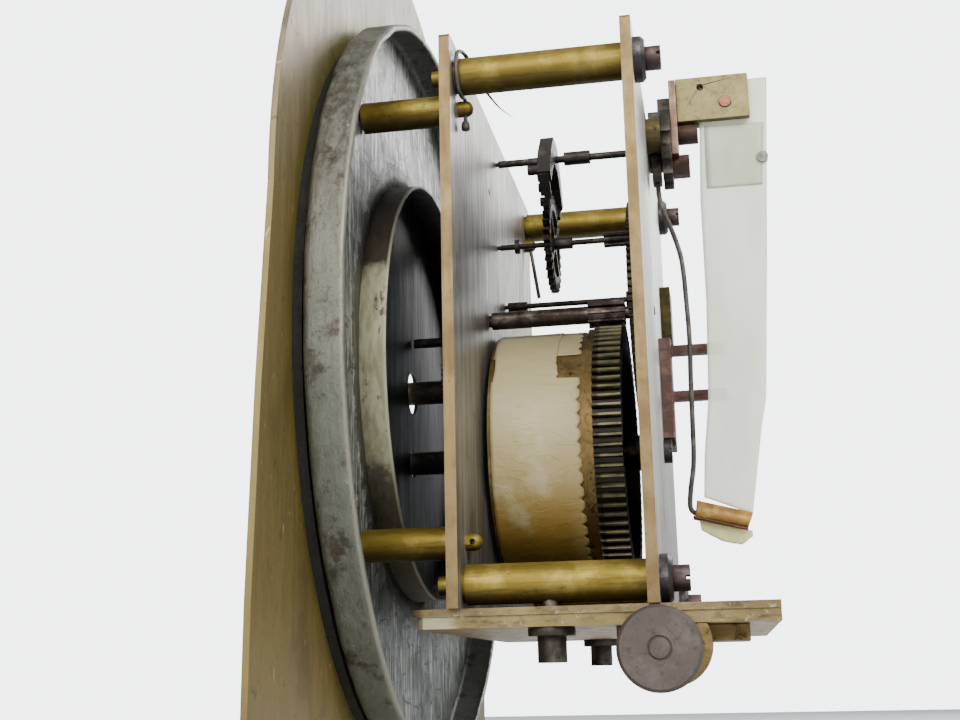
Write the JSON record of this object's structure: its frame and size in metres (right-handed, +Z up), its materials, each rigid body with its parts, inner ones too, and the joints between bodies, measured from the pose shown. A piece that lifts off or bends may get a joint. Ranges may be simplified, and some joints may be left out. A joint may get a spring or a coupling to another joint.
{
  "type": "clock movement",
  "caption": "Spring-driven pendulum clock movement: wheel train between two pillared plates on a seat plate, with dial pan, arched mask, crutch and suspension leaf.",
  "frame": {"origin": "on the underside of the seat plate, on the movement's centre line, in the plane of the front plate's dial side", "axes": "+Z up, +Y from the dial through the movement to the pendulum side, +X to the right as seen from the dial"},
  "size_m": [0.202, 0.0983, 0.2145],
  "materials": {
    "aged_brass_sheet": "dull stained brass sheet",
    "blackened_steel": "matt black",
    "tin_plate": "dented and scratched tinned sheet",
    "pale_brass": "pale dull brass",
    "plate_brass": "brushed, tarnished",
    "pillar_brass": "olive, pitted",
    "seat_brass": "dull, stained",
    "dark_steel": "dark, lightly rusted",
    "bright_steel": "ground",
    "rusty_steel": "red-brown with rust",
    "wheel_brass": "turned",
    "great_wheel_metal": "dark bronze",
    "amber_film": "yellowed translucent film",
    "knob_steel": "worn, turned",
    "copper_pin": "coppery",
    "leaf_film": "translucent white",
    "sleeve_film": "cream",
    "clip_brass": "golden brown"
  },
  "bodies": {
    "frame": {"dial_mask": "aged_brass_sheet", "dial_spacer_ring": "blackened_steel", "dial_plate": "blackened_steel", "dial_pan": "tin_plate", "pan_collar": "pale_brass", "dial_feet": "pillar_brass", "foot_taper_pins": "dark_steel", "foot_wire_pin": "dark_steel", "front_plate": "plate_brass", "back_plate": "plate_brass", "pillar_top_right": "pillar_brass", "pillar_top_left": "pillar_brass", "pillar_bottom_right": "pillar_brass", "pillar_bottom_left": "pillar_brass", "pillar_washers": "dark_steel", "pillar_screws": "rusty_steel", "seat_plate_upper": "seat_brass", "seat_plate_lower": "seat_brass", "seat_lug": "pillar_brass", "seat_screws": "dark_steel", "seat_washers": "dark_steel", "click_screw": "dark_steel", "click_spring": "bright_steel", "back_cock": "dark_steel", "cock_posts": "pillar_brass", "cock_fasteners": "rusty_steel", "suspension_bracket": "plate_brass", "suspension_block": "pillar_brass", "suspension_pin": "copper_pin", "guard_bracket": "rusty_steel", "bushing_bar": "pillar_brass", "centre_stud": "plate_brass", "minute_stud": "plate_brass"},
    "barrel": {"barrel_drum": "wheel_brass", "barrel_cap": "wheel_brass", "barrel_film": "amber_film", "great_wheel": "great_wheel_metal", "mainspring": "dark_steel"},
    "winding": {"winding_arbor": "dark_steel", "ratchet_wheel": "bright_steel"},
    "click_body": {"click": "bright_steel"},
    "centre": {"centre_arbor": "rusty_steel", "centre_wheel": "wheel_brass", "motion_drive_wheel": "wheel_brass"},
    "third": {"third_arbor": "dark_steel", "third_wheel": "wheel_brass"},
    "escape": {"escape_arbor": "dark_steel", "escape_wheel": "wheel_brass"},
    "pallets": {"pallet_arbor": "dark_steel", "pallet_anchor": "bright_steel", "pallet_screws": "dark_steel", "crutch": "dark_steel"},
    "suspension_leaf": {"leaf": "leaf_film", "leaf_sleeve": "sleeve_film", "leaf_rivet": "bright_steel", "leaf_clip": "clip_brass"},
    "cannon": {"cannon_pinion": "wheel_brass"},
    "minute": {"minute_wheel": "wheel_brass"},
    "hour": {"hour_wheel": "wheel_brass"},
    "thumb": {"thumb_screw": "knob_steel"}
  },
  "joints": [
    {"name": "centre_spin", "type": "hinge", "parent": "frame", "child": "centre", "pos_m": [0.014, 0.02, 0.06855], "axis": [0, 1, 0], "continuous": true},
    {"name": "barrel_spin", "type": "hinge", "parent": "frame", "child": "barrel", "pos_m": [0, 0.015, 0.0396], "axis": [0, 1, 0], "continuous": true},
    {"name": "third_spin", "type": "hinge", "parent": "frame", "child": "third", "pos_m": [-0.00981, 0.02, 0.07837], "axis": [0, 1, 0], "continuous": true},
    {"name": "escape_spin", "type": "hinge", "parent": "frame", "child": "escape", "pos_m": [0, 0.02, 0.0903], "axis": [0, 1, 0], "continuous": true},
    {"name": "cannon_spin", "type": "hinge", "parent": "frame", "child": "cannon", "pos_m": [0, -0.008, 0.0562], "axis": [0, 1, 0], "continuous": true},
    {"name": "minute_spin", "type": "hinge", "parent": "frame", "child": "minute", "pos_m": [0, -0.008, 0.0682], "axis": [0, 1, 0], "continuous": true},
    {"name": "hour_spin", "type": "hinge", "parent": "frame", "child": "hour", "pos_m": [0, -0.015, 0.0562], "axis": [0, 1, 0], "continuous": true},
    {"name": "winding_spin", "type": "hinge", "parent": "frame", "child": "winding", "pos_m": [0, 0.005, 0.0396], "axis": [0, 1, 0], "continuous": true},
    {"name": "click_pivot", "type": "hinge", "parent": "frame", "child": "click_body", "pos_m": [-0.0175, -0.002, 0.0446], "axis": [0, 1, 0], "range_deg": [-18, 0], "stiffness_Nm_per_rad": 0.001},
    {"name": "pallet_swing", "type": "hinge", "parent": "frame", "child": "pallets", "pos_m": [0, 0.02, 0.1114], "axis": [0, 1, 0], "range_deg": [-2.5, 2.5]},
    {"name": "leaf_swing", "type": "hinge", "parent": "frame", "child": "suspension_leaf", "pos_m": [0, 0.057, 0.1212], "axis": [0, 1, 0], "range_deg": [-2.24, 2.24]},
    {"name": "thumb_turn", "type": "hinge", "parent": "frame", "child": "thumb", "pos_m": [0.045, 0.0384, -0.00445], "axis": [1, 0, 0], "continuous": true}
  ],
  "couplings": [
    {"joint": "barrel_spin", "follows": "centre_spin", "ratio": -0.090909},
    {"joint": "third_spin", "follows": "centre_spin", "ratio": -11.875},
    {"joint": "escape_spin", "follows": "centre_spin", "ratio": 103.91},
    {"joint": "cannon_spin", "follows": "centre_spin", "ratio": -1},
    {"joint": "minute_spin", "follows": "centre_spin", "ratio": 0.4},
    {"joint": "hour_spin", "follows": "centre_spin", "ratio": -0.083333},
    {"joint": "leaf_swing", "follows": "pallet_swing", "ratio": 0.8977}
  ]
}
